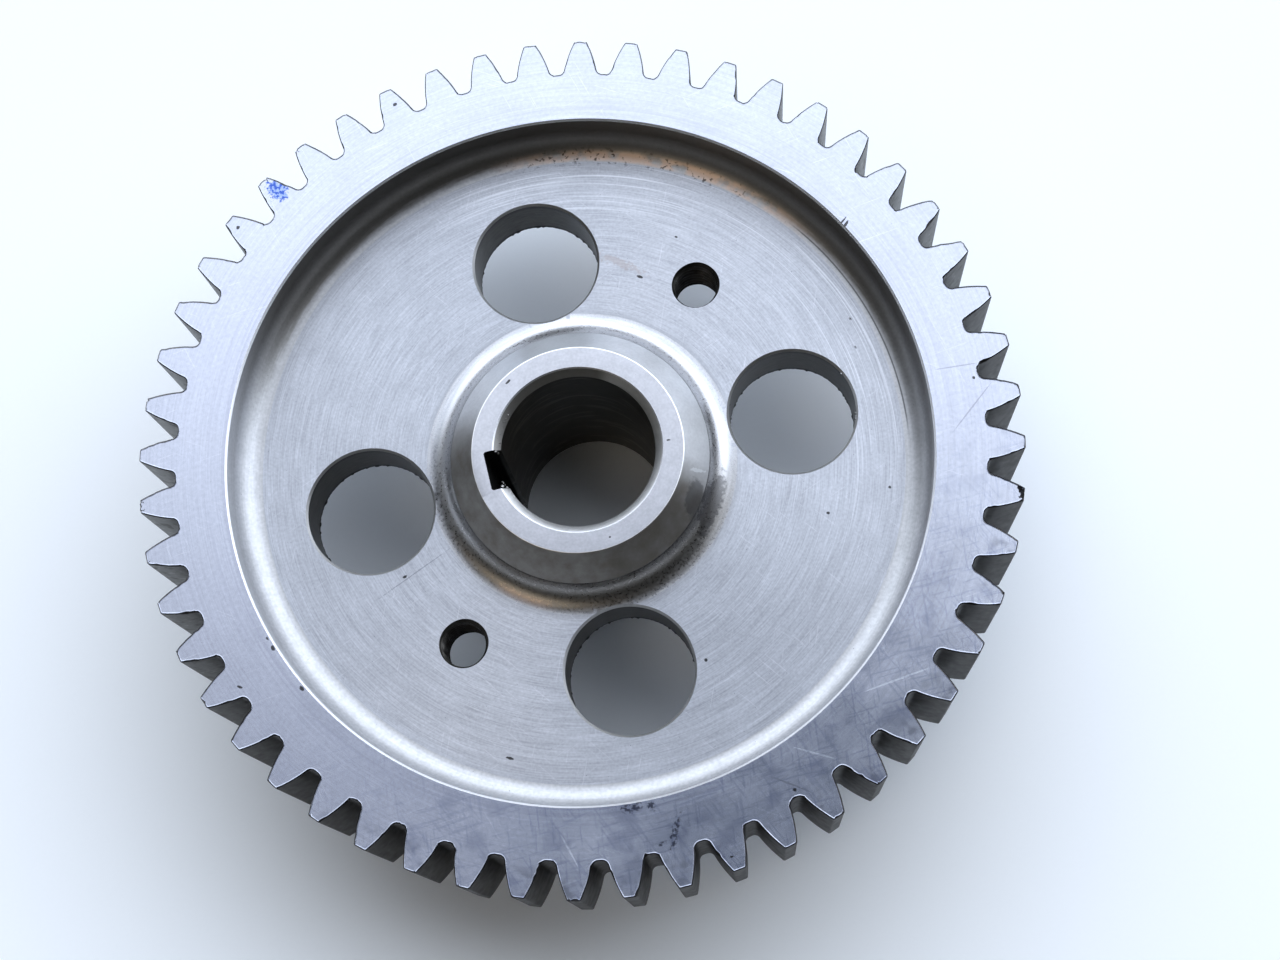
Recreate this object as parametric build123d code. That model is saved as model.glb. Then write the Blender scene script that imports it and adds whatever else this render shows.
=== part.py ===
"""One-piece steel spur gear: toothed rim, recessed web, keyed hub.

Row frame: Z is the gear's axis and Z = 0 the hub's rear end, +Z towards the gear's front.
The keyway is on -X. All lengths in mm, all angles in degrees unless a name says otherwise.
"""
from build123d import *
import math
import os

# teeth: 10 diametral pitch, 20 degree full-depth involute
TEETH = 52
MODULE = 2.54
PRESSURE_ANGLE = 20.0
ADDENDUM = 1.0 * MODULE
DEDENDUM = 1.25 * MODULE
ROOT_FILLET = 0.38 * MODULE
PITCH_R = MODULE * TEETH / 2
BASE_R = PITCH_R * math.cos(math.radians(PRESSURE_ANGLE))
TIP_R = PITCH_R + ADDENDUM
ROOT_R = PITCH_R - DEDENDUM

# heights of the turned faces above the hub's rear end
RIM_FRONT_Z = 39.7
HUB_FRONT_Z = 39.5
WEB_FRONT_Z = 32.0
WEB_REAR_Z = 22.5
RIM_REAR_Z = 15.7

# turned radii
RECESS_R = 54.75
RECESS_FILLET = 3.9
EDGE_BREAK = 0.3
HUB_FACE_R = 16.5
HUB_STEP_R = 20.3
HUB_STEP_Z = 35.1
HUB_BASE_R = 21.5
HUB_BASE_FILLET = 4.5
REAR_HUB_R = 19.0
REAR_HUB_CHAMFER = 1.0
REAR_HUB_FILLET = 3.0

# bore and keyway
BORE_R = 12.0
BORE_CHAMFER_FRONT = 1.25
BORE_CHAMFER_REAR = 0.5
KEYWAY_WIDTH = 6.3
KEYWAY_BOTTOM_R = 14.3

# holes through the web, on one circle; the pattern is drilled a little off the keyway's line
HOLE_CIRCLE_R = 34.2
HOLE_OFFSET = -0.9
LIGHTENING_COUNT = 4
LIGHTENING_R = 10.0
LIGHTENING_BREAK = 0.35
JACKING_COUNT = 2
JACKING_ANGLE = 45.0
JACKING_R = 3.4
JACKING_COUNTERSINK = 0.4
HOLE_CLEARANCE = 0.5


def polar(radius, angle):
    """Point at a radius and an angle in radians."""
    return Vector(radius * math.cos(angle), radius * math.sin(angle))


def involute_angle(radius):
    """Half tooth angle, in radians, at a radius."""
    alpha = math.radians(PRESSURE_ANGLE)
    a = math.acos(BASE_R / radius)
    return math.pi / (2 * TEETH) + (math.tan(alpha) - alpha) - (math.tan(a) - a)


def tooth_edges(centre):
    """Edges of one tooth and the root that follows it, counter-clockwise about the centre angle."""
    alpha = math.radians(PRESSURE_ANGLE)
    start = math.pi / (2 * TEETH) + math.tan(alpha) - alpha
    fillet_r = ROOT_R + ROOT_FILLET
    roll = math.sqrt(fillet_r**2 - BASE_R**2)
    flank_r = math.hypot(BASE_R, roll - ROOT_FILLET)
    fillet_angle = start - (roll - ROOT_FILLET) / BASE_R + math.atan2(roll, BASE_R)

    radii = [flank_r + (TIP_R - flank_r) * i / 6 for i in range(7)]
    rising = [polar(r, centre - involute_angle(r)) for r in radii]
    falling = [polar(r, centre + involute_angle(r)) for r in reversed(radii)]

    def fillet_arc(side, from_flank):
        mid = polar(fillet_r, centre + side * fillet_angle)
        flank = polar(flank_r, centre + side * involute_angle(flank_r))
        root = polar(ROOT_R, centre + side * fillet_angle)
        bulge = mid + ((flank - mid) + (root - mid)).normalized() * ROOT_FILLET
        ends = (flank, root) if from_flank else (root, flank)
        return ThreePointArc(ends[0], bulge, ends[1])

    next_centre = centre + 2 * math.pi / TEETH
    root_mid = (centre + next_centre) / 2
    return [
        fillet_arc(-1, False),
        Spline(*rising),
        ThreePointArc(rising[-1], polar(TIP_R, centre), falling[0]),
        Spline(*falling),
        fillet_arc(1, True),
        ThreePointArc(polar(ROOT_R, centre + fillet_angle), polar(ROOT_R, root_mid),
                      polar(ROOT_R, next_centre - fillet_angle)),
    ]


def toothed_prism():
    """Tall prism with the outline of the teeth."""
    edges = []
    for i in range(TEETH):
        edges += tooth_edges(2 * math.pi * i / TEETH)
    outline = make_face(Wire(edges))
    return Pos(0, 0, -1) * extrude(outline, RIM_FRONT_Z + 2)


def concave(centre_r, centre_z, radius, start, mid, end):
    """Concave corner arc in the section, by three directions from its centre."""
    points = [(centre_r + radius * math.cos(math.radians(a)),
               centre_z + radius * math.sin(math.radians(a))) for a in (start, mid, end)]
    return ThreePointArc(*points)


def turned_blank():
    """Everything the lathe cuts: hub, web, recesses and the blank of the rim."""
    outer = TIP_R + 1
    lean = math.degrees(math.atan2(HUB_BASE_R - HUB_STEP_R, HUB_STEP_Z - WEB_FRONT_Z))
    rear_hub_fillet = concave(REAR_HUB_R + REAR_HUB_FILLET, WEB_REAR_Z - REAR_HUB_FILLET, REAR_HUB_FILLET,
                              180, 135, 90)
    rear_rim_fillet = concave(RECESS_R - RECESS_FILLET, WEB_REAR_Z - RECESS_FILLET, RECESS_FILLET, 90, 45, 0)
    front_rim_fillet = concave(RECESS_R - RECESS_FILLET, WEB_FRONT_Z + RECESS_FILLET, RECESS_FILLET,
                               0, -45, -90)
    front_hub_fillet = concave(HUB_BASE_R + HUB_BASE_FILLET * math.tan(math.radians(45 - lean / 2)),
                               WEB_FRONT_Z + HUB_BASE_FILLET, HUB_BASE_FILLET,
                               -90, -135 + lean / 2, -180 + lean)
    section = [
        Polyline((BORE_R + BORE_CHAMFER_REAR, 0), (REAR_HUB_R - REAR_HUB_CHAMFER, 0),
                 (REAR_HUB_R, REAR_HUB_CHAMFER), rear_hub_fillet @ 0),
        rear_hub_fillet,
        Line(rear_hub_fillet @ 1, rear_rim_fillet @ 0),
        rear_rim_fillet,
        Polyline(rear_rim_fillet @ 1, (RECESS_R, RIM_REAR_Z + EDGE_BREAK),
                 (RECESS_R + EDGE_BREAK, RIM_REAR_Z), (outer, RIM_REAR_Z), (outer, RIM_FRONT_Z),
                 (RECESS_R + EDGE_BREAK, RIM_FRONT_Z), (RECESS_R, RIM_FRONT_Z - EDGE_BREAK),
                 front_rim_fillet @ 0),
        front_rim_fillet,
        Line(front_rim_fillet @ 1, front_hub_fillet @ 0),
        front_hub_fillet,
        Polyline(front_hub_fillet @ 1, (HUB_STEP_R, HUB_STEP_Z), (HUB_FACE_R, HUB_FRONT_Z),
                 (BORE_R + BORE_CHAMFER_FRONT, HUB_FRONT_Z), (BORE_R, HUB_FRONT_Z - BORE_CHAMFER_FRONT),
                 (BORE_R, BORE_CHAMFER_REAR), (BORE_R + BORE_CHAMFER_REAR, 0)),
    ]
    face = Plane.XZ * make_face(Curve() + section)
    return revolve(face, Axis.Z)


def hole_through_web(radius, edge_break):
    """Cutter for a hole through the web, broken on both edges and clear of the hub's corner."""
    height = WEB_FRONT_Z - WEB_REAR_Z
    flare = edge_break + HOLE_CLEARANCE
    front_z = WEB_FRONT_Z - edge_break + flare / 2
    rear_z = WEB_REAR_Z + edge_break - flare / 2
    cutter = Pos(0, 0, WEB_REAR_Z + height / 2) * Cylinder(radius, height - edge_break)
    cutter += Pos(0, 0, front_z) * Cone(radius, radius + flare, flare)
    cutter += Pos(0, 0, rear_z) * Cone(radius + flare, radius, flare)
    return cutter


def on_hole_circle(cutter, count, first_angle):
    """Copies of a cutter round the hole circle."""
    return [Rot(0, 0, first_angle + 360 * i / count) * Pos(HOLE_CIRCLE_R, 0, 0) * cutter
            for i in range(count)]


def keyway():
    """Cutter for the keyway, open into the bore and through both ends of the hub."""
    length = KEYWAY_BOTTOM_R - BORE_R / 2
    return Pos(-(KEYWAY_BOTTOM_R + BORE_R / 2) / 2, 0, HUB_FRONT_Z / 2) * Box(
        length, KEYWAY_WIDTH, HUB_FRONT_Z + 2)


gear = turned_blank() & toothed_prism()
gear -= on_hole_circle(hole_through_web(LIGHTENING_R, LIGHTENING_BREAK), LIGHTENING_COUNT, HOLE_OFFSET)
gear -= on_hole_circle(hole_through_web(JACKING_R, JACKING_COUNTERSINK), JACKING_COUNT,
                       HOLE_OFFSET + JACKING_ANGLE)
gear -= keyway()

os.makedirs("parts", exist_ok=True)
export_step(gear, "parts/spur_gear.step")
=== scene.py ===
"""Steel spur gear lying face up on a pale table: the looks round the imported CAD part."""
import math
import random

import bmesh
import bpy
import numpy as np
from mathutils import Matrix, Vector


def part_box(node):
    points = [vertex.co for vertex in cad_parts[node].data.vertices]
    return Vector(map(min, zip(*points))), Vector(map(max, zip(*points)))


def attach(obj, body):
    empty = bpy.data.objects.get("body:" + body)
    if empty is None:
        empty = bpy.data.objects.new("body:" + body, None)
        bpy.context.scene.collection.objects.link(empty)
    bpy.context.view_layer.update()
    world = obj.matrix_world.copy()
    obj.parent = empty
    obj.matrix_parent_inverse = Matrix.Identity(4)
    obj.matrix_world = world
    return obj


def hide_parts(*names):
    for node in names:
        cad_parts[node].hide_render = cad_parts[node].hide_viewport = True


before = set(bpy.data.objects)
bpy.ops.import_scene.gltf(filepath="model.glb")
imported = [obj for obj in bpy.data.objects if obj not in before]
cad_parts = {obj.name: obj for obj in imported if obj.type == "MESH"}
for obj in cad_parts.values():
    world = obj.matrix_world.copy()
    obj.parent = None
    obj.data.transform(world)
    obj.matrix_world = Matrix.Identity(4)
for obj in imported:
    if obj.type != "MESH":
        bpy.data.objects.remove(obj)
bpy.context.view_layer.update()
MM = 0.001
gear_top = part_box("spur_gear")[1][2] / MM
random.seed(7)

# ---------------------------------------------------------------- sizes, mm, as in the CAD
TEETH = 52
MODULE = 2.54
PRESSURE_ANGLE = math.radians(20)
PITCH_R = MODULE * TEETH / 2
BASE_R = PITCH_R * math.cos(PRESSURE_ANGLE)
TIP_R = PITCH_R + MODULE - 0.002       # just inside the CAD's tip circle
ROOT_R = PITCH_R - 1.25 * MODULE
ROOT_FILLET = 0.38 * MODULE
RIM_FRONT = round(gear_top, 2)
HUB_FRONT, WEB_FRONT, WEB_REAR, RIM_REAR = 39.5, 32.0, 22.5, 15.7
RECESS_R, RECESS_FILLET, RECESS_BREAK = 54.75, 3.9, 0.3
HUB_BASE_R, HUB_BASE_FILLET = 21.5, 4.5
STEP_R, STEP_Z, HUB_FACE_R = 20.3, 35.1, 16.5
REAR_HUB_R, REAR_HUB_FILLET, REAR_HUB_BREAK = 19.0, 3.0, 1.0
BORE_R, BORE_CHAMFER, REAR_BORE_CHAMFER = 12.0, 1.25, 0.5
HOLE_CIRCLE, HOLE_TURN = 34.2, math.radians(-0.9)
LIGHT_R, LIGHT_BREAK = 10.0, 0.35
JACK_R, JACK_MAJOR_R, THREAD_PITCH, JACK_SINK = 3.4, 4.0, 1.25, 0.4
KEY_HALF, KEY_BOTTOM, KEY_CORNER = 3.15, 14.3, 0.25

# ---------------------------------------------------------------- wear and mesh settings, mm
CHIPPED_TOOTH = 49                     # its front tip corner is knocked off
EDGE = 0.17                            # edge break of the teeth
TIP_ROUND = 0.16                       # small round at both ends of a tooth's tip
TIP_SLOPE = 0.88                       # cosine of the flank's lean from the radius at the tip
MAX_NICK = 0.6
BURR_HEIGHT, BURR_WIDTH = 0.06, 0.16   # ridge along the teeth's front outline
RIM_FACE = RIM_FRONT - BURR_HEIGHT     # the rim's face lies below the top of that ridge
PER_TOOTH = 10                         # points of each turned ring per tooth
NEAR = 0.01                            # tolerance when a face is sorted by where it is
VIEW_TURN = -13.85                     # azimuths of marks, burrs and lights count from this one; degrees


# ---------------------------------------------------------------- gear mesh
def tooth_half_angle(r):
    """Half of a tooth's angle at a radius."""
    a = math.acos(BASE_R / r)
    return math.pi / (2 * TEETH) + math.tan(PRESSURE_ANGLE) - PRESSURE_ANGLE - (math.tan(a) - a)


def cartesian(r, a):
    """Point at a radius and angle."""
    return np.array([r * math.cos(a), r * math.sin(a)])


def arc_points(centre, radius, first, last, steps):
    """Points of the shorter arc round a centre, from one point to another."""
    a0 = math.atan2(*(first - centre)[::-1])
    a1 = math.atan2(*(last - centre)[::-1])
    turn = (a1 - a0 + math.pi) % (2 * math.pi) - math.pi
    return [centre + radius * np.array([math.cos(a0 + turn * t), math.sin(a0 + turn * t)])
            for t in np.linspace(0, 1, steps + 1)]


def tooth_outline():
    """Points of one tooth's outline, from the middle of one root to just before the next."""
    fillet_r = ROOT_R + ROOT_FILLET
    roll = math.sqrt(fillet_r**2 - BASE_R**2)
    flank_r = math.hypot(BASE_R, roll - ROOT_FILLET)
    start = math.pi / (2 * TEETH) + math.tan(PRESSURE_ANGLE) - PRESSURE_ANGLE
    mid_angle = start - (roll - ROOT_FILLET) / BASE_R + math.atan2(roll, BASE_R)
    centre = cartesian(fillet_r, mid_angle)
    root = cartesian(ROOT_R, mid_angle)
    flank = cartesian(flank_r, tooth_half_angle(flank_r))
    half = [cartesian(ROOT_R, math.pi / TEETH)]
    half += arc_points(centre, ROOT_FILLET, root, flank, 6)
    half += [cartesian(r, tooth_half_angle(r)) for r in np.linspace(flank_r, TIP_R - TIP_ROUND, 9)[1:]]
    tip_angle = tooth_half_angle(TIP_R)
    half += [cartesian(TIP_R - 0.05, tip_angle - 0.03 / TIP_R),
             cartesian(TIP_R, tip_angle - TIP_ROUND / TIP_R),
             cartesian(TIP_R, tip_angle / 2)]
    lower = [np.array([p[0], -p[1]]) for p in half]
    upper = half[1:][::-1]
    return np.array(lower + [np.array([TIP_R, 0.0])] + upper)


def full_outline():
    """Closed outline of all teeth, and its outward normals."""
    one = tooth_outline()
    points = []
    for k in range(TEETH):
        a = 2 * math.pi * k / TEETH
        turn = np.array([[math.cos(a), -math.sin(a)], [math.sin(a), math.cos(a)]])
        points.append(one @ turn.T)
    points = np.concatenate(points)
    along = np.roll(points, -1, 0) - np.roll(points, 1, 0)
    normals = np.stack([along[:, 1], -along[:, 0]], 1)
    normals /= np.linalg.norm(normals, axis=1)[:, None]
    return points, normals, len(one)


def rounded(profile):
    """A section of (r, z, corner radius) with every corner that has a radius turned into an arc."""
    out = []
    for i, (r, z, corner) in enumerate(profile):
        p = np.array([r, z], float)
        if not corner or i in (0, len(profile) - 1):
            out.append(p)
            continue
        before = np.array(profile[i - 1][:2], float) - p
        after = np.array(profile[i + 1][:2], float) - p
        before, after = before / np.linalg.norm(before), after / np.linalg.norm(after)
        half = math.acos(np.clip(before @ after, -1, 1)) / 2
        middle = before + after
        centre = p + middle / np.linalg.norm(middle) * corner / math.sin(half)
        first = p + before * corner / math.tan(half)
        last = p + after * corner / math.tan(half)
        degrees = 180 - 2 * math.degrees(half)
        steps = max(2, int(degrees / (9 if corner > 1 else 30)))
        out += arc_points(centre, corner, first, last, steps)
    return out


def turned_section():
    """The lathe's section from the front recess edge, over the hub and through the bore, to the rear."""
    return rounded([
        (RECESS_R + RECESS_BREAK, RIM_FACE, 0),
        (RECESS_R, RIM_FACE - RECESS_BREAK, 0.1),
        (RECESS_R, WEB_FRONT, RECESS_FILLET),
        (HUB_BASE_R, WEB_FRONT, HUB_BASE_FILLET),
        (STEP_R, STEP_Z, 0.12),
        (HUB_FACE_R, HUB_FRONT, 0.3),
        (BORE_R + BORE_CHAMFER, HUB_FRONT, 0.08),
        (BORE_R, HUB_FRONT - BORE_CHAMFER, 0.15),
        (BORE_R, REAR_BORE_CHAMFER, 0.1),
        (BORE_R + REAR_BORE_CHAMFER, 0, 0.1),
        (REAR_HUB_R - REAR_HUB_BREAK, 0, 0.1),
        (REAR_HUB_R, REAR_HUB_BREAK, 0.1),
        (REAR_HUB_R, WEB_REAR, REAR_HUB_FILLET),
        (RECESS_R, WEB_REAR, RECESS_FILLET),
        (RECESS_R, RIM_REAR + RECESS_BREAK, 0.1),
        (RECESS_R + RECESS_BREAK, RIM_REAR, 0)])


def edge_wear(count, per):
    """Depth of the nicks at each point of the front outline: small ones anywhere, larger at the tips."""
    depth = np.zeros(count)
    for _ in range(240):
        start, length = random.randrange(count), random.choice((1, 1, 2, 3))
        for i in range(length):
            depth[(start + i) % count] += random.uniform(0.03, 0.14)
    for _ in range(55):
        corner = random.randrange(TEETH) * per + per // 2 + random.choice((-3, -2, 2, 3))
        depth[corner % count] += random.uniform(0.12, 0.3)
    chipped = CHIPPED_TOOTH * per + per // 2
    for i, d in ((-4, 0.2), (-3, 0.45), (-2, 0.55), (-1, 0.6), (0, 0.45), (1, 0.55), (2, 0.3)):
        depth[chipped + i] = d
    return np.minimum(depth, MAX_NICK)


def inset(outline, normals, depth, per):
    """The outline moved into the metal; the tips' small rounds shrink, so the line does not cross itself."""
    moved = outline - normals * depth[:, None]
    for k in range(TEETH):
        for side in (-1, 1):
            middle = k * per + per // 2 + 3 * side
            for i in (middle - 1, middle, middle + 1):
                r = TIP_R - depth[i]
                half_tip = tooth_half_angle(r) - depth[i] / (TIP_SLOPE * TIP_R)
                mitre = cartesian(r, 2 * math.pi * k / TEETH + side * half_tip)
                moved[i] = mitre + 0.15 * (outline[i] - outline[middle])
    return moved


def toothed_rings(outline, normals, per):
    """Rings of points and heights, from the rim's front face over the worn, burred edge to its rear face."""
    wear = edge_wear(len(outline), per)
    ragged = np.array([random.uniform(0.45, 1) for _ in wear])
    ridge = ragged * BURR_HEIGHT * (1 - np.minimum(wear / 0.2, 1))
    low = RIM_FRONT - EDGE - 0.9 * wear
    level = np.ones(len(outline))
    return [(inset(outline, normals, EDGE + wear + BURR_WIDTH, per), level * RIM_FACE),
            (outline - normals * (EDGE + wear)[:, None], RIM_FACE + ridge),
            (outline - normals * (0.3 * wear)[:, None], low),
            (outline, low - 0.4 * wear - 0.05),
            (outline, level * (RIM_REAR + EDGE)),
            (outline - normals * EDGE, level * RIM_REAR)]


def build_blank():
    """Toothed rim, web and hub as one closed mesh."""
    outline, normals, per = full_outline()
    mesh = bmesh.new()
    toothed = [[mesh.verts.new((x * MM, y * MM, z * MM)) for (x, y), z in zip(ring, heights)]
               for ring, heights in toothed_rings(outline, normals, per)]
    count = TEETH * PER_TOOTH
    angles = [-math.pi / TEETH + 2 * math.pi * i / count for i in range(count)]
    turned = [[mesh.verts.new((r * MM * math.cos(a), r * MM * math.sin(a), z * MM)) for a in angles]
              for r, z in turned_section()]
    for rings in (toothed, turned):
        for a, b in zip(rings, rings[1:]):
            for i in range(len(a)):
                j = (i + 1) % len(a)
                mesh.faces.new((a[i], a[j], b[j], b[i]))
    for outer, ring in ((toothed[0], turned[0]), (toothed[-1], turned[-1])):
        for k in range(TEETH):
            around = [outer[(k * per + i) % len(outer)] for i in range(per + 1)]
            back = [ring[(k * PER_TOOTH + i) % count] for i in range(PER_TOOTH, -1, -1)]
            mesh.faces.new(around + back)
    bmesh.ops.recalc_face_normals(mesh, faces=mesh.faces)
    return to_object(mesh, "gear_body")


def to_object(mesh, name):
    """Turns a bmesh into a linked object."""
    data = bpy.data.meshes.new(name)
    mesh.to_mesh(data)
    mesh.free()
    obj = bpy.data.objects.new(name, data)
    bpy.context.scene.collection.objects.link(obj)
    return obj


def add_lathed(mesh, centre, radii_at, heights, segments):
    """Adds a closed, roughly round cutter: radii_at(angle, z) gives its radius."""
    rings = []
    for z in heights:
        ring = []
        for i in range(segments):
            a = 2 * math.pi * i / segments
            r = radii_at(a, z)
            x, y = centre[0] + r * math.cos(a), centre[1] + r * math.sin(a)
            ring.append(mesh.verts.new((x * MM, y * MM, z * MM)))
        rings.append(ring)
    for a, b in zip(rings, rings[1:]):
        for i in range(segments):
            j = (i + 1) % segments
            mesh.faces.new((a[i], a[j], b[j], b[i]))
    mesh.faces.new(rings[0][::-1])
    mesh.faces.new(rings[-1])


def light_centre(k):
    """Centre of one of the four lightening holes."""
    return cartesian(HOLE_CIRCLE, HOLE_TURN + math.pi / 2 * k)


def jack_centre(k):
    """Centre of one of the two jacking holes."""
    return cartesian(HOLE_CIRCLE, HOLE_TURN + math.pi / 4 + math.pi * k)


def add_lightening_holes(mesh):
    """Four plain holes with a front edge break and a ragged burr at the rear."""
    segments = 200
    light_z = [WEB_REAR - 0.6, WEB_REAR + 0.1, WEB_REAR + 0.4, WEB_FRONT - LIGHT_BREAK, WEB_FRONT + 0.6]
    for k in range(4):
        ragged = [random.uniform(0, 0.07) + random.choice((0, 0, 0, 0, 0, 0, 0.13))
                  for _ in range(segments)]

        def light(a, z):
            burr = ragged[round(a * segments / (2 * math.pi)) % segments] if z < WEB_REAR + 0.2 else 0
            return LIGHT_R + max(z - (WEB_FRONT - LIGHT_BREAK), 0) - burr

        add_lathed(mesh, light_centre(k), light, light_z, segments)


def add_jacking_holes(mesh):
    """Two threaded holes, countersunk at both ends."""
    def thread(a, z):
        t = (z / THREAD_PITCH - a / (2 * math.pi)) % 1
        crest = np.clip((1 - abs(2 * t - 1) - 0.12) / 0.7, 0, 1)
        sink = max(z - (WEB_FRONT - JACK_SINK), (WEB_REAR + JACK_SINK) - z, 0)
        return max(JACK_R + (JACK_MAJOR_R - JACK_R) * crest, JACK_R + sink)

    thread_z = np.arange(WEB_REAR - 0.7, WEB_FRONT + 0.75, THREAD_PITCH / 14)
    for k in range(2):
        add_lathed(mesh, jack_centre(k), thread, thread_z, 60)


def add_keyway(mesh):
    """A prism from inside the bore to the keyway's bottom, with its two inner corners taken off."""
    inside = -5.0
    flat = [(inside, -KEY_HALF), (-KEY_BOTTOM + KEY_CORNER, -KEY_HALF),
            (-KEY_BOTTOM, -KEY_HALF + KEY_CORNER), (-KEY_BOTTOM, KEY_HALF - KEY_CORNER),
            (-KEY_BOTTOM + KEY_CORNER, KEY_HALF), (inside, KEY_HALF)]
    low = [mesh.verts.new((x * MM, y * MM, -1 * MM)) for x, y in flat]
    high = [mesh.verts.new((x * MM, y * MM, (HUB_FRONT + 1) * MM)) for x, y in flat]
    for i in range(len(flat)):
        j = (i + 1) % len(flat)
        mesh.faces.new((low[i], low[j], high[j], high[i]))
    mesh.faces.new(low[::-1])
    mesh.faces.new(high)


def build_cutters():
    """Lightening holes, jacking holes and the keyway, as one object of separate closed shells."""
    mesh = bmesh.new()
    add_lightening_holes(mesh)
    add_jacking_holes(mesh)
    add_keyway(mesh)
    bmesh.ops.recalc_face_normals(mesh, faces=mesh.faces)
    return to_object(mesh, "cutters")


def apply_modifiers(obj):
    """Replaces an object's mesh with the result of its modifiers."""
    bpy.context.view_layer.update()
    result = bpy.data.meshes.new_from_object(obj.evaluated_get(bpy.context.evaluated_depsgraph_get()))
    obj.modifiers.clear()
    old = obj.data
    obj.data = result
    bpy.data.meshes.remove(old)


def cut(obj, cutter):
    """Subtracts the cutter and removes it."""
    modifier = obj.modifiers.new("cut", "BOOLEAN")
    modifier.operation = "DIFFERENCE"
    modifier.solver = "EXACT"
    modifier.object = cutter
    apply_modifiers(obj)
    bpy.data.objects.remove(cutter)


def flatten_shading(obj):
    """Bends the shading normals only across the small edge rounds, so broad faces shade flat."""
    modifier = obj.modifiers.new("normals", "WEIGHTED_NORMAL")
    modifier.mode = "FACE_AREA"
    modifier.weight = 50
    modifier.keep_sharp = True
    apply_modifiers(obj)


def region_of(centre, normal):
    """Which finish a face has, from where it is."""
    x, y, z = centre[0] / MM, centre[1] / MM, centre[2] / MM
    r = math.hypot(x, y)
    flat = abs(normal[2]) > 0.95
    on_hub_end = flat and (z > HUB_FRONT - NEAR or z < NEAR)
    on_rim_front = z > RIM_FACE - NEAR and normal[2] > 0.82
    on_rim_rear = flat and z < RIM_REAR + NEAR
    if r > RECESS_R + RECESS_BREAK + NEAR and (on_rim_front or on_rim_rear):
        return "rim_face"
    if r > 60:
        return "tooth_flank"
    in_bore_chamfer = BORE_R + 0.02 < r < BORE_R + BORE_CHAMFER - NEAR
    if in_bore_chamfer and z > HUB_FRONT - BORE_CHAMFER - 0.02 and normal[2] > 0.4:
        return "chamfer"
    if RECESS_R - 0.05 < r < RECESS_R + RECESS_BREAK + NEAR and z > RIM_FACE - 0.4:
        return "chamfer"
    if abs(r - HUB_FACE_R) < 0.32 and z > HUB_FRONT - 0.3 and 0.8 < normal[2] < 0.995:
        return "chamfer"
    if r < KEY_BOTTOM + 0.5 and not on_hub_end:
        return "bore_wall"
    for k in range(4):
        cx, cy = light_centre(k)
        if math.hypot(x - cx, y - cy) < LIGHT_R + LIGHT_BREAK + 0.02 and not flat:
            return "chamfer" if z > WEB_FRONT - LIGHT_BREAK else "hole_wall"
    for k in range(2):
        cx, cy = jack_centre(k)
        if math.hypot(x - cx, y - cy) < JACK_MAJOR_R + 0.1 and WEB_REAR < z < WEB_FRONT:
            return "hole_wall"
    if r < HUB_FACE_R + 1.6 and on_hub_end:
        return "hub_face"
    if flat and HUB_BASE_R + 2.7 < r < RECESS_R - RECESS_FILLET + 0.2:
        return "web_face"
    if r > 30:
        return "recess_wall"
    return "hub_fillet" if r > STEP_R - 0.05 and z > WEB_FRONT - NEAR else "hub_cone"


def keyway_burrs(count, azimuths, radii, sizes):
    """Random places on the bore's chamfer, as (azimuth, radius, size)."""
    return [(random.uniform(*azimuths), random.uniform(*radii), random.uniform(*sizes)) for _ in range(count)]


def add_burrs(mesh):
    """Small lumps of metal at the keyway's mouth and one hole's edge: closed shells sunk in the surface."""
    spread = keyway_burrs(14, (150, 178), (12.1, 12.9), (0.07, 0.15))
    spread += keyway_burrs(6, (202, 216), (12.1, 12.7), (0.08, 0.14))
    spread += [(180.5, 12.75, 0.26), (181.5, 12.4, 0.2), (206.5, 12.85, 0.26), (208.0, 12.35, 0.2)]
    places = []
    for azimuth, r, size in spread:
        x, y = cartesian(r, math.radians(azimuth + VIEW_TURN))
        places.append(((x, y, HUB_FRONT - (BORE_R + BORE_CHAMFER - r)), size))
    for azimuth in (-7, -4.5, -2, 1, 38, 41, 172, 190):
        x, y = light_centre(0) + cartesian(LIGHT_R, math.radians(azimuth + VIEW_TURN))
        places.append(((x, y, WEB_FRONT - 0.45), random.uniform(0.12, 0.22)))
    for centre, size in places:
        lump = bmesh.ops.create_icosphere(mesh, subdivisions=2, radius=size * MM)
        for vert in lump["verts"]:
            pull = random.uniform(0.65, 1.25)
            vert.co = [(c * MM + v * pull) for c, v in zip(centre, vert.co)]


def finish_mesh(obj, regions):
    """Adds the burrs, gives every face its finish, and marks the sharp edges."""
    mesh = bmesh.new()
    mesh.from_mesh(obj.data)
    add_burrs(mesh)
    bmesh.ops.remove_doubles(mesh, verts=mesh.verts, dist=0.002 * MM)
    bmesh.ops.recalc_face_normals(mesh, faces=mesh.faces)
    for face in mesh.faces:
        face.smooth = True
        face.material_index = regions.index(region_of(face.calc_center_median(), face.normal))
    for edge in mesh.edges:
        edge.smooth = len(edge.link_faces) == 2 and edge.calc_face_angle(0) < math.radians(27)
    mesh.to_mesh(obj.data)
    mesh.free()
    flatten_shading(obj)


# ---------------------------------------------------------------- materials
GROOVE_TURN = 0.25                 # turns the brushed highlight along the lathe's grooves
DIRT = (0.018, 0.016, 0.014)
# near black, for soot marks and for the keyway's painted shade
SOOT_AND_SHADE = (0.008, 0.008, 0.008)
SHADE_AND_DIRT_SIDE = (0.236, -0.97, 0)     # direction of the shaded side, toward which the teeth's painted shade and the rim's dirt and painted shade grow


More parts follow.
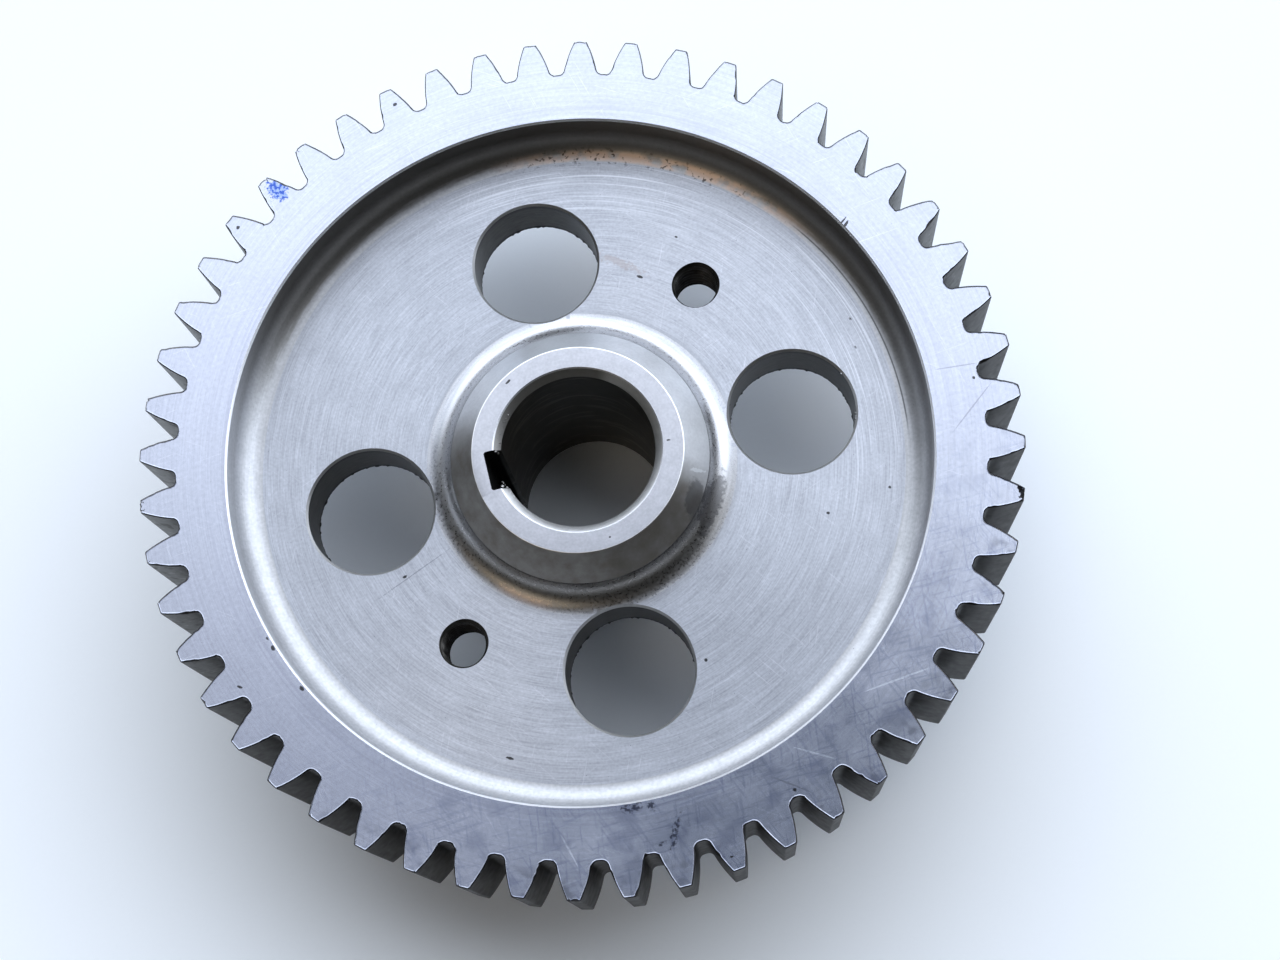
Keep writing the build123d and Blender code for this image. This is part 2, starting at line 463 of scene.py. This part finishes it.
class Graph:
    """Adds shader nodes and links them; every call gives back an output socket."""

    def __init__(self, tree):
        self.nodes, self.links = tree.nodes, tree.links

    def add(self, kind, inputs, out=0, **settings):
        """A node of a kind; inputs are sockets to link or plain values, settings are node properties."""
        node = self.nodes.new("ShaderNode" + kind)
        for name, value in settings.items():
            setattr(node, name, value)
        for socket, value in inputs.items():
            if isinstance(value, bpy.types.NodeSocket):
                self.links.new(value, node.inputs[socket])
            else:
                node.inputs[socket].default_value = value
        return node.outputs[out]

    def math(self, operation, a, b=0.0, c=0.0):
        return self.add("Math", {0: a, 1: b, 2: c}, operation=operation)

    def vector(self, operation, a, b=(0.0, 0.0, 0.0)):
        out = "Value" if operation in ("DOT_PRODUCT", "LENGTH", "DISTANCE") else "Vector"
        return self.add("VectorMath", {0: a, 1: b}, out, operation=operation)

    def scaled(self, a, factor):
        return self.add("VectorMath", {0: a, "Scale": factor}, operation="SCALE")

    def ramp(self, value, low, high):
        """0 at low, 1 at high, smooth between."""
        return self.add("MapRange", {"Value": value, "From Min": low, "From Max": high}, "Result",
                        interpolation_type="SMOOTHSTEP")

    def noise(self, vector, scale=1.0, detail=2.0, roughness=0.5):
        settings = {"Vector": vector, "Scale": scale, "Detail": detail, "Roughness": roughness}
        return self.add("TexNoise", settings)

    def mix(self, factor, a, b):
        return self.add("Mix", {0: factor, 6: a, 7: b}, 2, data_type="RGBA")

    def product(self, first, *rest):
        for value in rest:
            first = self.math("MULTIPLY", first, value)
        return first

    def swing(self, value, amount, middle=0.5):
        """A factor near 1 that follows a 0..1 pattern."""
        return self.math("MULTIPLY_ADD", value, 2 * amount, 1 - 2 * amount * middle)


class Finish(Graph):
    """A metal finish laid out in millimetres round the gear's axis."""

    def __init__(self, name, tint, roughness):
        self.material = bpy.data.materials.new(name)
        self.material.use_nodes = True
        super().__init__(self.material.node_tree)
        self.bsdf = self.nodes["Principled BSDF"]
        self.bsdf.inputs["Metallic"].default_value = 1
        self.position = self.scaled(self.nodes.new("ShaderNodeTexCoord").outputs["Object"], 1000.0)
        level = self.vector("MULTIPLY", self.position, (1, 1, 0))
        self.radius = self.vector("LENGTH", level)
        self.around = self.vector("NORMALIZE", level)
        self.height = self.vector("DOT_PRODUCT", self.position, (0, 0, 1))
        self.tint = tint
        self.shade = None
        self.gloss = roughness
        self.grain = None
        self.marks = []

    def rings(self, along, across, detail=3.0, offset=0.0):
        """Noise drawn out into arcs: wavelengths along and across the turning lines, mm."""
        out = self.math("MULTIPLY_ADD", self.height, 0.83, self.radius)
        fine = self.add("CombineXYZ", {2: self.math("MULTIPLY_ADD", out, 1 / across, offset)})
        return self.noise(self.vector("ADD", self.scaled(self.around, 40.0 / along), fine), detail=detail)

    def streaks(self, azimuth, long, across):
        """Noise drawn out into straight strokes that run along an azimuth."""
        a = math.radians(azimuth + VIEW_TURN)
        u = self.vector("DOT_PRODUCT", self.position, (math.cos(a) / long, math.sin(a) / long, 0))
        v = self.vector("DOT_PRODUCT", self.position, (-math.sin(a) / across, math.cos(a) / across, 0))
        return self.noise(self.add("CombineXYZ", {0: u, 1: v, 2: azimuth * 0.37}), detail=1.0)

    def clouds(self, size, detail=3.0, stretch=(1, 1, 1)):
        """Plain noise of a size, mm."""
        scaled = self.vector("MULTIPLY", self.position, tuple(v / size for v in stretch))
        return self.noise(scaled, detail=detail)

    def dots(self, spacing, size, share):
        """Small spots scattered over cells; only a share of the cells has one."""
        scaled = self.scaled(self.position, 1 / spacing)
        wobble = self.scaled(self.noise(self.position, 2.2, 1.0), size / spacing)
        node = self.nodes.new("ShaderNodeTexVoronoi")
        self.links.new(self.vector("ADD", scaled, wobble), node.inputs["Vector"])
        pick = self.nodes.new("ShaderNodeSeparateColor")
        self.links.new(node.outputs["Color"], pick.inputs[0])
        reach = self.math("MULTIPLY_ADD", pick.outputs[1], size / spacing, 0.3 * size / spacing)
        inside = self.math("LESS_THAN", node.outputs["Distance"], reach)
        return self.product(inside, self.math("LESS_THAN", pick.outputs[0], share))

    def patch(self, azimuth, radius, half_along, half_across, turn=0.0, ragged=0.5):
        """A ragged mark at a place; along is tangential before the turn."""
        a = math.radians(azimuth + VIEW_TURN)
        heading = a + math.pi / 2 + math.radians(turn)
        return self.blot(cartesian(radius, a), heading, half_along, half_across, ragged)

    def stroke(self, start, end, half_width, ragged=0.5):
        """A straight scratch between two (azimuth, radius) places."""
        x0, y0 = cartesian(start[1], math.radians(start[0] + VIEW_TURN))
        x1, y1 = cartesian(end[1], math.radians(end[0] + VIEW_TURN))
        middle = ((x0 + x1) / 2, (y0 + y1) / 2)
        half_long = math.hypot(x1 - x0, y1 - y0) / 2
        return self.blot(middle, math.atan2(y1 - y0, x1 - x0), half_long, half_width, ragged)

    def blot(self, centre, heading, half_along, half_across, ragged):
        """Mask of an ellipse with a ragged edge."""
        c, s = math.cos(heading), math.sin(heading)
        if self.grain is None:
            self.grain = self.math("SUBTRACT", self.noise(self.position, 1.3, 3.0, 0.6), 0.5)
        uv = [self.vector("DOT_PRODUCT", self.position, (x / size, y / size, 0))
              for x, y, size in ((c, s, half_along), (-s, c, half_across))]
        middle = ((centre[0] * c + centre[1] * s) / half_along, (centre[1] * c - centre[0] * s) / half_across)
        away = self.vector("DISTANCE", self.add("CombineXYZ", {0: uv[0], 1: uv[1]}), (*middle, 0.0))
        return self.ramp(self.math("MULTIPLY_ADD", self.grain, 4 * ragged, away), 1.1, 0.75)

    def arc(self, azimuth, half_width, soft):
        """A factor that is 1 within half_width of an azimuth and fades at both ends, degrees."""
        a = math.radians(azimuth + VIEW_TURN)
        along = self.vector("DOT_PRODUCT", self.around, (math.cos(a), math.sin(a), 0))
        return self.ramp(along, math.cos(math.radians(half_width + soft)), math.cos(math.radians(half_width)))

    def toward_shade_and_dirt(self, vector):
        """How far a vector reaches toward the side where the painted shade and the dirt grow."""
        return self.vector("DOT_PRODUCT", vector, SHADE_AND_DIRT_SIDE)

    def band(self, low, high, soft):
        """A factor that is 1 between two radii."""
        outside = self.ramp(self.radius, low - soft, low)
        return self.product(outside, self.ramp(self.radius, high + soft, high))

    def vary(self, factor):
        """Multiplies the metal's own colour by a pattern."""
        self.shade = factor if self.shade is None else self.product(self.shade, factor)

    def stain(self, mask, colour, amount=1.0):
        """Lays a colour over the metal where the mask is."""
        self.marks.append((mask, colour, amount))

    def specks(self, places, ragged):
        """Dark specks, each (azimuth, radius, half_along, half_across, turn)."""
        for place in places:
            self.stain(self.patch(*place, ragged), DIRT, 0.9)

    def done(self, anisotropic=0.0, bump=None, bump_height=0.0):
        """Links up the colour, gloss, brushed highlight and fine relief."""
        colour = self.scaled(self.tint, self.shade) if self.shade is not None else self.tint
        for mask, tint, amount in self.marks:
            factor = mask if amount == 1.0 else self.math("MULTIPLY", mask, amount)
            colour = self.mix(factor, colour, (*tint, 1))
        for name, value in (("Base Color", colour), ("Roughness", self.gloss)):
            if isinstance(value, bpy.types.NodeSocket):
                self.links.new(value, self.bsdf.inputs[name])
            else:
                self.bsdf.inputs[name].default_value = (*value, 1) if name == "Base Color" else value
        if anisotropic:
            self.bsdf.inputs["Anisotropic"].default_value = anisotropic
            self.bsdf.inputs["Anisotropic Rotation"].default_value = GROOVE_TURN
            tangent = self.nodes.new("ShaderNodeTangent")
            tangent.direction_type, tangent.axis = "RADIAL", "Z"
            self.links.new(tangent.outputs[0], self.bsdf.inputs["Tangent"])
        if bump is not None:
            normal = self.add("Bump", {"Height": bump, "Distance": bump_height * MM, "Strength": 1.0})
            self.links.new(normal, self.bsdf.inputs["Normal"])
        return self.material


def rim_finish():
    """Ground blue-grey face of the teeth and rim: clouds, scratches, dirt and partly painted shade toward the
    shaded side, ink.
    """
    f = Finish("rim_face", (0.422, 0.442, 0.505), 0.24)
    lines = f.rings(9.0, 0.22)
    clouds = f.clouds(7.0, 4.0, (1, 1, 0.2))
    f.vary(f.swing(lines, 0.16))
    f.vary(f.swing(f.clouds(0.6, 4.0), 0.16))
    f.vary(f.swing(clouds, 0.12))
    f.gloss = f.math("MULTIPLY_ADD", clouds, 0.12, 0.18)
    inner = f.ramp(f.radius, 59.5, 55.5)
    f.stain(f.product(f.ramp(f.rings(30.0, 0.45, 2.0, 3.0), 0.48, 0.62), inner), (0.3, 0.31, 0.38), 0.35)
    for azimuth, share in ((20, 0.73), (118, 0.735), (160, 0.74)):
        f.stain(f.ramp(f.streaks(azimuth, 10.0, 0.2), share, share + 0.04), (0.8, 0.82, 0.86), 0.2)
    bright_strokes = (((317.9, 57.2), (327.1, 63.5)), ((267.9, 58.7), (270.8, 64.1)),
                      ((305.0, 56.5), (309.0, 62.0)))
    for ends in bright_strokes:
        f.stain(f.stroke(*ends, 0.16, 0.15), (0.8, 0.83, 0.88), 0.45)
    dark_strokes = (((12.0, 56.2), (11.6, 63.0)), ((1.5, 57.5), (8.5, 64.5)),
                    ((300.0, 58.5), (303.5, 63.5)))
    for ends in dark_strokes:
        f.stain(f.stroke(*ends, 0.13, 0.15), (0.2, 0.2, 0.24), 0.5)
    dirt = f.ramp(f.clouds(2.4, 4.0), 0.52, 0.68)
    tips = f.product(f.ramp(f.radius, 61.0, 67.5), f.ramp(f.toward_shade_and_dirt(f.around), 0.3, 0.7))
    f.stain(f.product(dirt, tips), (0.13, 0.14, 0.17), 0.6)
    # partly painted shade: dark blue-grey clouds over the lower side; the scuffs below keep to that side too
    low = f.ramp(f.toward_shade_and_dirt(f.position), 10, 60)
    f.stain(f.product(f.ramp(f.clouds(4.5, 5.0), 0.5, 0.7), low), (0.19, 0.21, 0.29), 0.5)
    for azimuth, amount in ((97, 0.3), (128, 0.25), (15, 0.3)):
        scuffs = f.ramp(f.streaks(azimuth, 5.0, 0.4), 0.57, 0.72)
        f.stain(f.product(scuffs, low), (0.15, 0.18, 0.29), amount)
    broken = f.ramp(f.clouds(0.55, 3.0), 0.44, 0.54)
    for place in ((278.8, 55.7, 1.9, 0.7, 0), (281.6, 56.0, 0.6, 0.7, 30), (284.3, 60.3, 0.5, 2.5, -28),
                  (282.3, 61.6, 0.8, 0.35, 20)):
        f.stain(f.product(f.patch(*place, 0.7), broken), (0.03, 0.035, 0.06), 0.85)
    f.specks(((301.7, 61.8, 0.25, 0.25, 0), (290.4, 66.4, 0.3, 0.2, 0), (213.6, 55.4, 0.5, 0.35, 0),
              (221.7, 55.5, 0.45, 0.3, 0), (211.8, 55.4, 0.35, 0.25, 0), (215.7, 62.7, 0.5, 0.2, 40),
              (117.3, 65.6, 0.35, 0.3, 0), (145.5, 66.5, 0.3, 0.3, 0), (40.4, 55.2, 0.22, 0.9, 20),
              (41.2, 55.4, 0.18, 0.8, 10), (9.6, 62.0, 0.22, 0.22, 0)), 0.45)
    f.stain(f.patch(353.6, 67.9, 1.1, 0.45, 20, 0.9), SOOT_AND_SHADE)
    f.stain(f.dots(3.4, 0.17, 0.22), DIRT, 0.9)
    ink = f.patch(138.0, 65.6, 1.7, 1.7, 0, 1.0)
    f.stain(ink, (0.12, 0.22, 0.5), 0.6)
    f.stain(f.product(ink, broken), (0.01, 0.05, 0.3), 0.85)
    return f.done(0.25)


def web_finish():
    """Turned face of the web: fine and broad arcs, streaks, specks, painted shade in the corner round the hub
    on its lower side, and a painted highlight round the hub on its upper side.
    """
    f = Finish("web_face", (0.4, 0.413, 0.445), 0.4)
    fine = f.rings(5.0, 0.16)
    broad = f.rings(16.0, 0.9, 2.0, 7.0)
    grain = f.clouds(0.42, 3.0)
    f.vary(f.swing(fine, 0.36))
    f.vary(f.swing(broad, 0.14))
    f.vary(f.swing(grain, 0.22))
    f.vary(f.swing(f.clouds(6.0, 4.0), 0.10))
    f.gloss = f.math("MULTIPLY_ADD", broad, 0.12, 0.33)
    for azimuth, share in ((35, 0.715), (80, 0.725), (140, 0.71)):
        f.stain(f.ramp(f.streaks(azimuth, 8.0, 0.2), share, share + 0.03), (0.75, 0.75, 0.8), 0.22)
    f.stain(f.patch(80.0, 33.6, 4.0, 0.7, -14, 0.9), (0.3, 0.23, 0.19), 0.3)
    f.stain(f.stroke((214.5, 38.1), (213.9, 25.2), 0.1, 0.6), (0.08, 0.08, 0.1), 0.4)
    f.specks(((73.2, 32.0, 0.6, 0.25, 0), (68.0, 40.3, 0.3, 0.2, 0), (28.1, 48.5, 0.3, 0.2, 0),
              (347.0, 39.6, 0.25, 0.25, 0), (354.2, 48.5, 0.25, 0.25, 0), (22.6, 47.1, 0.3, 0.15, 0),
              (301.3, 37.3, 0.25, 0.25, 0), (257.2, 47.9, 0.6, 0.2, 0), (213.5, 33.1, 0.25, 0.35, 0)), 0.35)
    f.stain(f.product(crumbs(f), f.ramp(f.radius, 49.8, 51.2)), (0.04, 0.035, 0.03), 0.85)
    f.stain(painted_corner_shade(f), (0.15, 0.14, 0.125), 0.65)
    f.stain(heat_tint(f), (0.56, 0.43, 0.37), 0.35)
    # painted highlight: a lighter, streaked band on the web round the hub's corner, on the upper side
    painted_halo_streaks = f.ramp(f.rings(4.0, 0.3, 3.0, 11.0), 0.3, 0.65)
    frost = f.product(painted_halo_streaks, f.ramp(f.radius, 26.5, 22.6), f.arc(85, 70, 25))
    f.stain(frost, (0.5, 0.51, 0.54), 0.4)
    f.stain(f.product(f.ramp(f.radius, 25.6, 24.4), f.arc(85, 75, 25)), (0.26, 0.27, 0.29), 0.5)
    glints = f.product(f.dots(0.8, 0.13, 0.16), f.ramp(f.radius, 30, 24), f.arc(75, 80, 30))
    f.stain(glints, (0.95, 0.97, 1.0), 0.5)
    thin_arcs = f.ramp(f.rings(30.0, 0.3, 3.0, 9.0), 0.54, 0.68)
    arcs = f.product(thin_arcs, f.ramp(f.radius, 36, 47), f.arc(55, 50, 25))
    f.stain(arcs, (0.8, 0.82, 0.86), 0.4)
    f.stain(f.dots(2.7, 0.19, 0.34), DIRT, 0.9)
    f.stain(f.dots(1.1, 0.1, 0.28), (0.13, 0.14, 0.17), 0.75)
    return f.done(0.7, fine, 0.006)


def painted_corner_shade(f):
    """Painted shade in the corner round the hub, on its lower side."""
    return f.product(f.arc(285, 50, 34), f.ramp(f.radius, 26.2, 22.6))


def heat_tint(f):
    """Straw-brown tint of the steel in one stretch of the corner round the hub."""
    return f.product(f.arc(248, 4, 10), f.band(23.4, 23.9, 0.8))


def crumbs(f):
    """Dried swarf along one stretch of the recess's corner: ragged specks, fewer towards both ends."""
    grains = f.ramp(f.clouds(0.7, 4.0), 0.56, 0.62)
    return f.product(f.arc(80, 8, 22), grains, f.ramp(f.clouds(3.0), 0.4, 0.52))


def recess_finish():
    """Rounded corner and wall of the recess, with dark brown painted shade on the upper side, a rust line and
    dried swarf on one side.
    """
    f = Finish("recess_wall", (0.435, 0.438, 0.445), 0.4)
    lines = f.rings(20.0, 0.3)
    grain = f.clouds(0.5, 3.0)
    f.vary(f.swing(lines, 0.14))
    f.vary(f.swing(grain, 0.24))
    f.vary(f.swing(f.clouds(4.0), 0.12))
    edge = f.math("MULTIPLY_ADD", f.rings(3.0, 0.5, 3.0, 2.0), 1.4, f.radius)
    # painted shade: the wall and its upper corner darkened in brown on the upper side
    painted_wall_shade = f.product(f.arc(90, 58, 28), f.ramp(edge, 52.1, 53.5))
    f.stain(painted_wall_shade, (0.12, 0.107, 0.085), 0.72)
    rust = f.product(f.arc(76, 10, 24), f.band(51.4, 52.2, 0.8), f.ramp(f.clouds(2.2), 0.3, 0.55))
    f.stain(rust, (0.64, 0.46, 0.34), 0.75)
    f.stain(f.product(crumbs(f), f.ramp(f.radius, 53.4, 52.2)), (0.04, 0.03, 0.025), 0.85)
    f.stain(f.product(f.band(51.5, 51.67, 0.06), f.arc(27, 18, 6)), (0.05, 0.05, 0.05), 0.7)
    f.stain(f.dots(2.4, 0.2, 0.25), DIRT, 0.85)
    return f.done(0.6, lines, 0.005)


def cone_finish():
    """Turned cone and step of the hub, with painted shade: dark brown over its lower half, darker at the top
    and toward the lower right.
    """
    f = Finish("hub_cone", (0.68, 0.69, 0.7), 0.42)
    lines = f.rings(18.0, 0.3)
    f.vary(f.swing(lines, 0.10))
    f.vary(f.swing(f.clouds(3.0), 0.14))
    f.vary(f.swing(f.clouds(0.5), 0.12))
    # painted shade: darker at the top between the two highlights, and toward the lower right
    f.stain(f.arc(108, 14, 24), (0.42, 0.45, 0.48), 0.4)
    f.stain(f.arc(312, 20, 14), (0.06, 0.06, 0.065), 0.4)
    # painted shade: the lower half darkened in brown
    painted_brown_shade = f.product(f.arc(258, 78, 24), f.math("MULTIPLY_ADD", f.clouds(2.5, 4.0), 0.8, 0.5))
    f.stain(painted_brown_shade, (0.165, 0.14, 0.102), 0.76)
    # painted shade: a dark patch at the right, where the lit half ends
    f.stain(f.patch(338.0, 19.3, 3.2, 1.3, 10, 0.2), (0.05, 0.05, 0.055), 0.5)
    f.stain(f.patch(350.5, 18.6, 0.3, 1.3, 15, 0.5), (0.85, 0.87, 0.88), 0.6)
    f.stain(f.dots(2.2, 0.16, 0.2), DIRT, 0.8)
    f.stain(f.dots(1.3, 0.1, 0.15), (0.8, 0.82, 0.85), 0.6)
    return f.done(0.4, lines, 0.004)


def hub_fillet_finish():
    """Frosted corner between the web and the hub, brighter toward the hub, with painted shade on its lower
    side and at its lower right.
    """
    f = Finish("hub_fillet", (0.4, 0.405, 0.42), 0.3)
    frost = f.clouds(0.4, 4.0)
    f.vary(f.swing(f.rings(9.0, 0.4), 0.35))
    f.vary(f.swing(frost, 0.3))
    f.gloss = f.math("MULTIPLY_ADD", frost, 0.34, 0.14)
    f.stain(f.ramp(f.radius, 23.4, 22.4), (0.72, 0.72, 0.73), 0.75)
    f.stain(painted_corner_shade(f), (0.18, 0.157, 0.12), 0.62)
    f.stain(heat_tint(f), (0.56, 0.43, 0.37), 0.35)
    # painted shade: a dark patch at the lower right, where the lit halo ends
    f.stain(f.patch(340.0, 21.8, 5.5, 1.5, 0, 0.35), (0.04, 0.04, 0.045), 0.6)
    f.stain(f.ramp(f.height, STEP_Z - 0.5, STEP_Z - 0.15), (0.1, 0.1, 0.1), 0.6)
    f.stain(f.dots(0.8, 0.13, 0.15), (0.95, 0.97, 1.0), 0.4)
    f.stain(f.dots(2.0, 0.16, 0.25), DIRT, 0.85)
    return f.done(0.3, frost, 0.007)


def hub_face_finish():
    """Faced ring at both ends of the hub."""
    f = Finish("hub_face", (0.43, 0.434, 0.458), 0.3)
    f.vary(f.swing(f.rings(12.0, 0.25), 0.08))
    f.vary(f.swing(f.clouds(1.6, 3.0), 0.14))
    f.vary(f.swing(f.clouds(0.4, 3.0), 0.14))
    f.specks(((134.9, 15.5, 0.5, 0.2, 0), (4.8, 14.1, 0.16, 0.35, 0), (290.0, 14.9, 0.2, 0.15, 0)), 0.4)
    f.stain(f.dots(1.8, 0.12, 0.2), (0.08, 0.08, 0.1), 0.8)
    return f.done(0.2)


def chamfer_finish():
    """Edge breaks: rubbed bright at the recess and the bore's outer edge, duller at the holes, with painted
    shade on the bore chamfer's upper side and left.
    """
    f = Finish("chamfer", (0.72, 0.72, 0.71), 0.4)
    f.vary(f.swing(f.clouds(1.2, 4.0), 0.2))
    f.stain(f.dots(0.9, 0.12, 0.3), (0.1, 0.1, 0.1), 0.7)
    # painted shade: the bore chamfer darker on its upper side and left
    f.stain(f.product(f.arc(140, 62, 14), f.ramp(f.radius, 16, 15)), (0.1, 0.088, 0.07), 0.7)
    bore_edge = BORE_R + BORE_CHAMFER
    rubbed = f.math("MAXIMUM", f.band(bore_edge - 0.17, bore_edge + 0.05, 0.05), f.ramp(f.radius, 45, 50))
    f.stain(f.band(20.0, 46.0, 0.5), (0.16, 0.16, 0.16), 0.45)
    f.stain(rubbed, (0.95, 0.96, 0.98), 0.9)
    return f.done()


def flank_finish():
    """Tooth flanks and roots: mottled grey, with near-black painted shade toward the shaded side and at the
    roots.
    """
    f = Finish("tooth_flank", (0.2, 0.2, 0.195), 0.38)
    blots = f.clouds(1.3, 4.0, (1, 1, 0.5))
    f.vary(f.swing(blots, 0.45))
    f.vary(f.swing(f.clouds(0.5, 3.0, (1, 1, 0.15)), 0.25))
    f.stain(f.ramp(f.clouds(1.1, 4.0), 0.56, 0.66), (0.42, 0.42, 0.4), 0.5)
    f.stain(f.ramp(f.clouds(1.8, 4.0), 0.54, 0.66), (0.05, 0.045, 0.04), 0.8)
    # painted shade: the flanks turn near black toward the shaded side
    lower = f.ramp(f.toward_shade_and_dirt(f.position), -30, 28)
    f.stain(lower, (0.026, 0.023, 0.019), 0.92)
    # painted shade: the roots darkened
    f.stain(f.ramp(f.radius, ROOT_R + 1.5, ROOT_R + 0.1), (0.03, 0.028, 0.025), 0.85)
    f.stain(f.patch(353.6, 68.2, 1.1, 0.7, 20, 0.9), SOOT_AND_SHADE)
    f.stain(f.ramp(f.height, RIM_FRONT - 0.4, RIM_FRONT - 0.14), (0.03, 0.032, 0.04), 0.6)
    f.gloss = f.math("MULTIPLY_ADD", blots, 0.3, 0.36)
    return f.done()


def bore_finish():
    """Bore wall, brown with lighter arcs and darkened as painted shade, and the keyway painted black as
    shade.
    """
    # painted shade: the bore's tint kept far darker than the steel's own
    f = Finish("bore_wall", (0.10, 0.095, 0.085), 0.38)
    arcs = f.rings(14.0, 1.2, 4.0)
    f.vary(f.swing(arcs, 0.6))
    f.vary(f.swing(f.clouds(2.0), 0.3))
    f.stain(f.ramp(f.rings(22.0, 0.9, 3.0, 5.0), 0.56, 0.68), (0.3, 0.29, 0.26), 0.6)
    in_keyway = f.ramp(f.vector("DOT_PRODUCT", f.position, (1, 0, 0)), -BORE_R, -BORE_R - 0.5)
    # painted shade: the keyway painted near black
    f.stain(in_keyway, SOOT_AND_SHADE, 0.95)
    f.gloss = f.math("MULTIPLY_ADD", in_keyway, 0.5, f.math("MULTIPLY_ADD", arcs, 0.2, 0.28))
    return f.done()


def hole_finish():
    """Walls of the lightening and jacking holes, darker at both ends, with one pale crumb."""
    f = Finish("hole_wall", (0.09, 0.086, 0.078), 0.38)
    f.vary(f.swing(f.clouds(1.4, 4.0, (1, 1, 3)), 0.6))
    f.stain(f.ramp(f.height, WEB_FRONT - 1.8, WEB_FRONT - 0.6), (0.03, 0.028, 0.025), 0.75)
    f.stain(f.ramp(f.height, WEB_REAR + 0.9, WEB_REAR + 0.3), (0.01, 0.01, 0.01), 0.85)
    near_top = f.ramp(f.height, WEB_FRONT - 2.0, WEB_FRONT - 1.2)
    f.stain(f.product(f.patch(167.0, 38.6, 0.9, 1.2, 0, 0.6), near_top), (0.8, 0.8, 0.66), 0.9)
    f.stain(f.dots(1.6, 0.2, 0.12), (0.4, 0.4, 0.36), 0.8)
    return f.done()


def floor_finish():
    """Plain pale table, hardly varied."""
    f = Finish("floor", (0.945, 0.975, 0.99), 0.6)
    f.bsdf.inputs["Metallic"].default_value = 0
    f.vary(f.swing(f.noise(f.position, 1.5, 3.0), 0.012))
    return f.done()


FINISHES = {"rim_face": rim_finish, "web_face": web_finish, "tooth_flank": flank_finish,
            "recess_wall": recess_finish, "hub_cone": cone_finish, "bore_wall": bore_finish,
            "hole_wall": hole_finish, "hub_face": hub_face_finish, "chamfer": chamfer_finish,
            "hub_fillet": hub_fillet_finish}

gear = build_blank()
cut(gear, build_cutters())
finish_mesh(gear, list(FINISHES))
for make in FINISHES.values():
    gear.data.materials.append(make())
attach(gear, "root")
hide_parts("spur_gear")

# ---------------------------------------------------------------- floor, light, camera
floor_mesh = bmesh.new()
bmesh.ops.create_grid(floor_mesh, x_segments=1, y_segments=1, size=12.0)
floor = to_object(floor_mesh, "floor")
floor.data.materials.append(floor_finish())


def build_world():
    """Soft room: a tall bright wall with a brighter pane on one side, a dim lintel across it, a glow on the
    ceiling, a bluish patch overhead, a warm lamp opposite and a faint low band all round."""
    world = bpy.data.worlds.new("studio")
    world.use_nodes = True
    g = Graph(world.node_tree)
    coords = g.nodes.new("ShaderNodeTexCoord").outputs["Generated"]

    def toward(azimuth, elevation=0):
        a, e = math.radians(azimuth + VIEW_TURN), math.radians(elevation)
        return (math.cos(e) * math.cos(a), math.cos(e) * math.sin(a), math.sin(e))

    def along(azimuth, elevation):
        return g.vector("DOT_PRODUCT", coords, toward(azimuth, elevation))

    height = g.vector("DOT_PRODUCT", coords, (0, 0, 1))
    level = g.vector("NORMALIZE", g.vector("MULTIPLY", coords, (1, 1, 0)))
    side = g.ramp(g.vector("DOT_PRODUCT", level, toward(76)), 0.01, 0.62)
    tilted = along(230, 85)
    wall = g.product(side, g.ramp(height, 0.0, 0.06), g.ramp(tilted, 0.965, 0.928))
    pane = g.product(side, g.ramp(height, 0.33, 0.5), g.ramp(tilted, 0.87, 0.74))
    lintel = g.product(side, g.ramp(tilted, 0.952, 0.936), g.ramp(tilted, 0.905, 0.93))
    zenith = g.ramp(along(95, 84), 0.985, 0.998)
    ceiling = g.ramp(along(155, 77), 0.984, 0.997)
    lamp = g.ramp(along(228, 60), 0.95, 0.99)
    room = g.ramp(height, 0.55, 0.3)
    sky = (0.012, 0.012, 0.011)
    for factor, colour in ((wall, (1.9, 2.06, 2.36)), (pane, (0.85, 0.96, 1.1)),
                           (lintel, (0.55, 0.52, 0.45)), (ceiling, (0.72, 0.78, 0.93)),
                           (zenith, (0.04, 0.08, 0.16)), (lamp, (1.2, 1.04, 0.84)),
                           (room, (0.09, 0.092, 0.09))):
        sky = g.vector("ADD", g.scaled(colour, factor), sky)
    g.links.new(sky, g.nodes["Background"].inputs["Color"])
    bpy.context.scene.world = world


def build_camera():
    """Camera above the gear, tilted about 14 degrees from straight down."""
    data = bpy.data.cameras.new("camera")
    data.lens = 58.71
    data.sensor_width = 36
    data.clip_start = 0.01
    camera = bpy.data.objects.new("camera", data)
    camera.location = (0.00679, -0.0894, 0.3491)
    camera.rotation_euler = [math.radians(a) for a in (14.473, 3.384, VIEW_TURN)]
    bpy.context.scene.collection.objects.link(camera)
    bpy.context.scene.camera = camera


build_world()
build_camera()
bpy.context.scene.view_settings.view_transform = "Standard"
